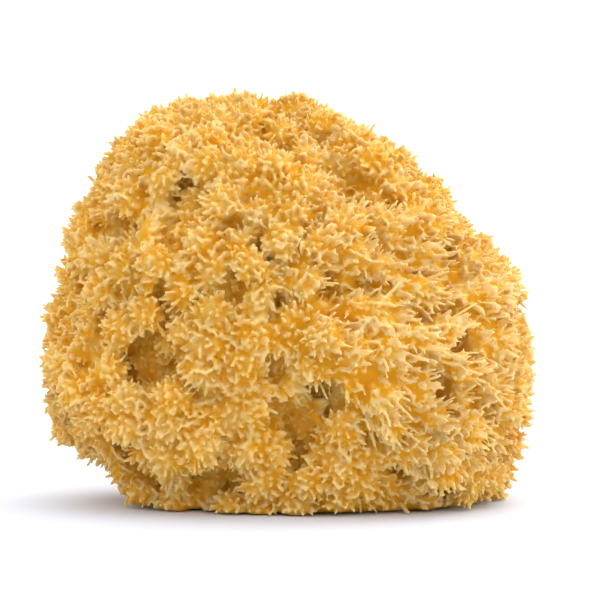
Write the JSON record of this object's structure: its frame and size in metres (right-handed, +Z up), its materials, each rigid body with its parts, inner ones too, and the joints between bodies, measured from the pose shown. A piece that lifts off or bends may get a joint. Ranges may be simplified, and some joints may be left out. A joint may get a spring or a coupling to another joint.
{
  "type": "sea sponge",
  "caption": "Natural sea wool sponge, a lopsided tufted mound with open pits, cut flat underneath so that it rests on its base.",
  "frame": {"origin": "middle of the sponge's footprint, on the flat cut that it rests on", "axes": "+X to the right of the face seen in the picture, -Y towards its viewer, +Z up"},
  "size_m": [0.15, 0.116, 0.125],
  "materials": {
    "sponge": "matte"
  },
  "bodies": {
    "root": {"sponge": "sponge"}
  },
  "joints": []
}
